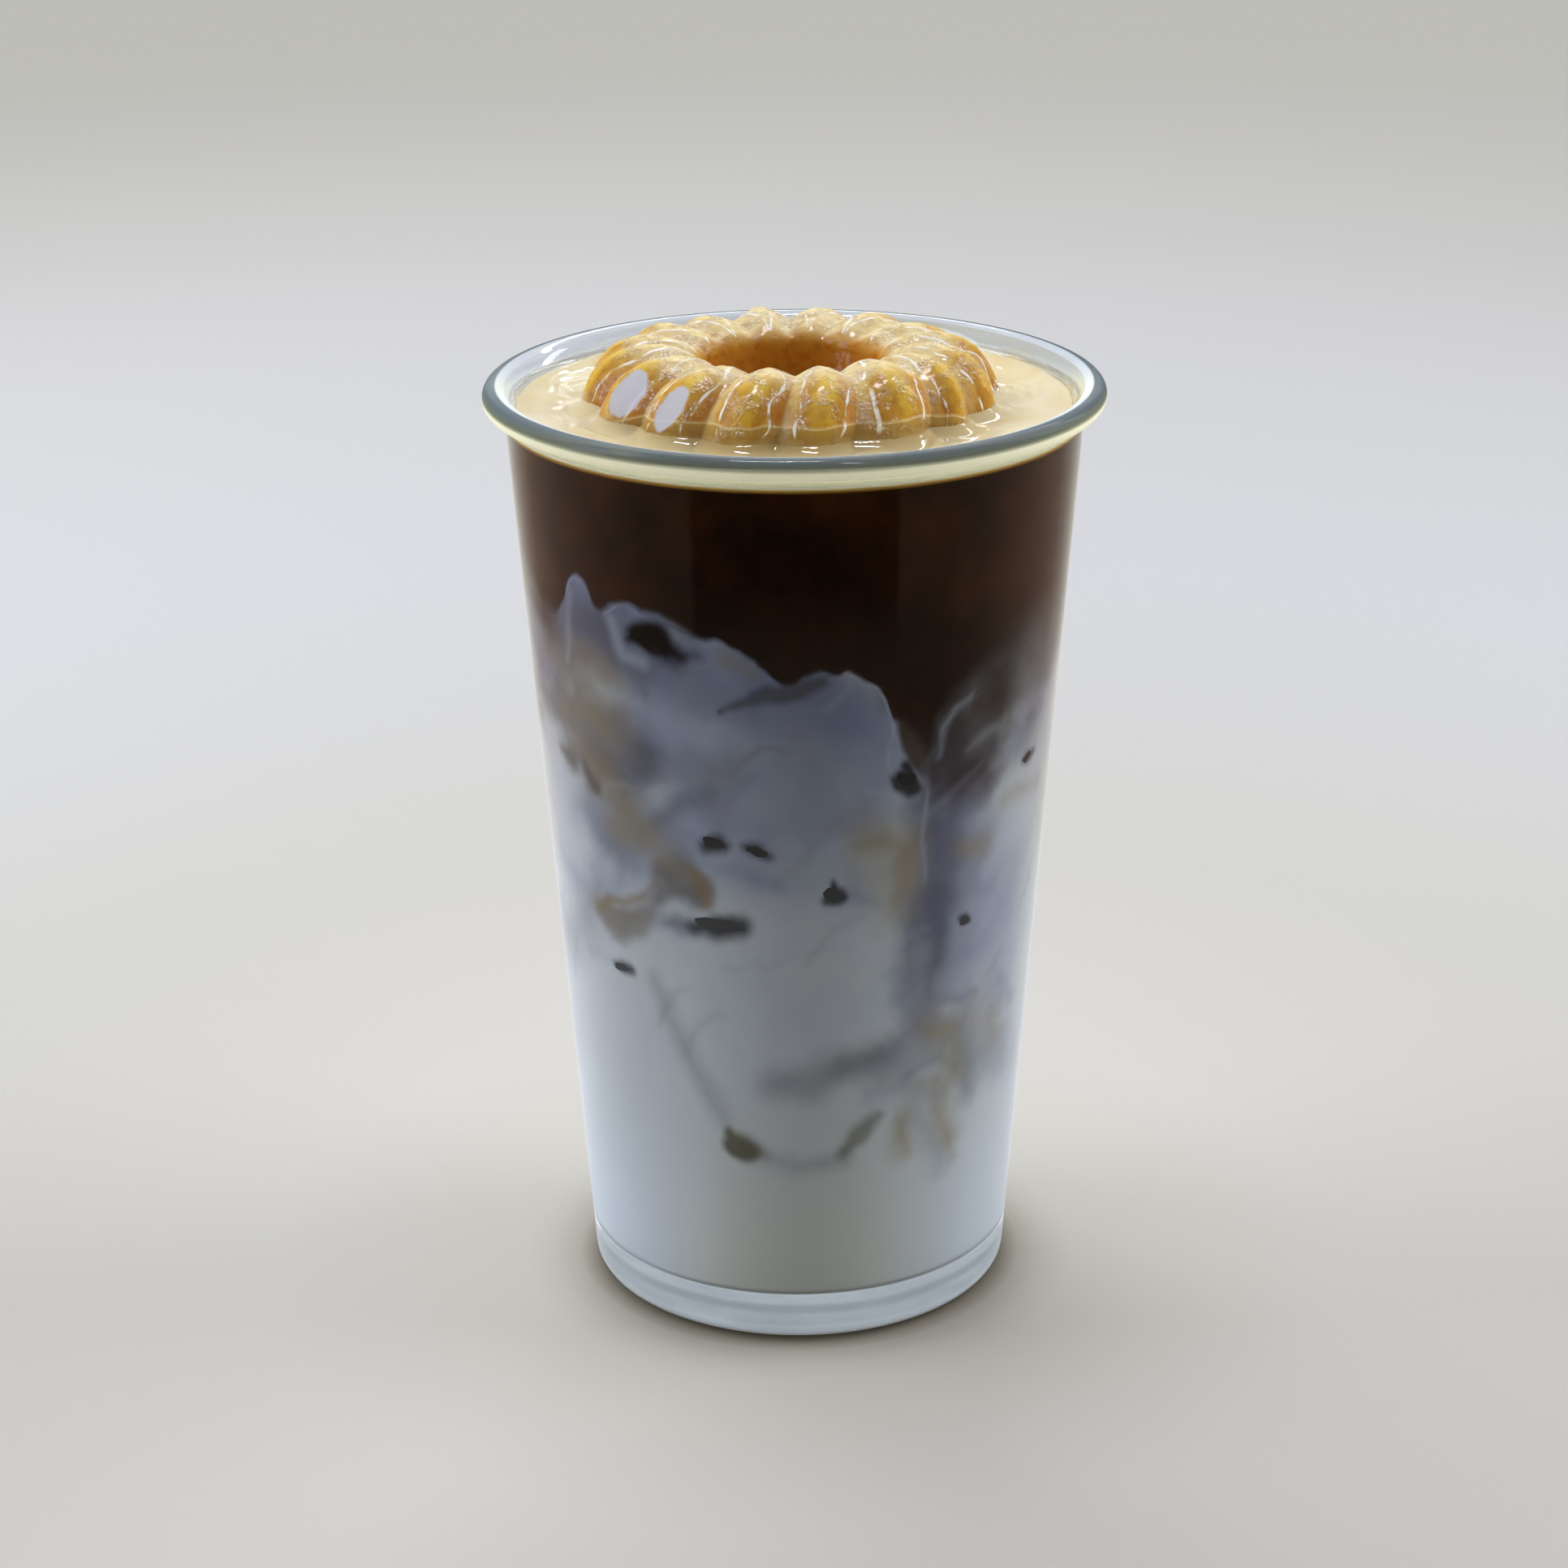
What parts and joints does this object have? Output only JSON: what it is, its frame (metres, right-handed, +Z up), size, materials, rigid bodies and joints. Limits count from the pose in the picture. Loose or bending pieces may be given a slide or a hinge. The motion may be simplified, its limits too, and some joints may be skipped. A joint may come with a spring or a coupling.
{
  "type": "glass of iced latte",
  "caption": "Tapered clear tumbler with a rolled rim, filled with milk under coffee and a thin skin of cream, with a fluted ring of frozen coffee cream resting in it.",
  "frame": {"origin": "middle of the foot, on the surface that the glass stands on", "axes": "+Z up along the glass's axis, -Y towards the viewer of the picture, +X to the viewer's right"},
  "size_m": [0.09, 0.09, 0.1449],
  "materials": {
    "glass": "clear pressed glass with a rolled, fire-polished rim",
    "milk": "cold milk behind glass, marbled with coffee",
    "coffee": "dark coffee behind glass",
    "cream": "wet coffee cream",
    "ring": "frozen coffee cream with a melting, glossy skin"
  },
  "bodies": {
    "root": {"glass": "glass", "milk": "milk", "coffee": "coffee", "cream": "cream", "ring": "ring"}
  },
  "joints": []
}
